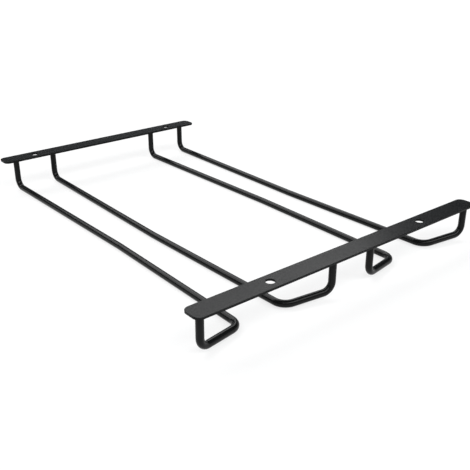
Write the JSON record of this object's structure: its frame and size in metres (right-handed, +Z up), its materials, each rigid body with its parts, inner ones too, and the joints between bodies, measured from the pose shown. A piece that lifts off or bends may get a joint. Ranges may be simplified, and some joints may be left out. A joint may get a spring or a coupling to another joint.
{
  "type": "wine glass rack",
  "caption": "Under-shelf stemware rack: flat screw-on straps carry paired bent wire rails that hold upturned glasses by their feet, with flared mouths at the front.",
  "frame": {"origin": "middle of the four screw holes, on the plane of the straps' top faces that meets the shelf", "axes": "+Z up, out of the straps' top faces towards the shelf; +Y from the front, where the glasses go in, to the rear; +X along the straps to the right, seen from the front"},
  "size_m": [0.258, 0.326, 0.0285],
  "materials": {
    "black_powder_coat": "semi-matt black powder coat on steel"
  },
  "bodies": {
    "root": {"front_strap": "black_powder_coat", "rear_strap": "black_powder_coat", "left_outer_rail": "black_powder_coat", "left_inner_rail": "black_powder_coat", "right_inner_rail": "black_powder_coat", "right_outer_rail": "black_powder_coat"}
  },
  "joints": []
}
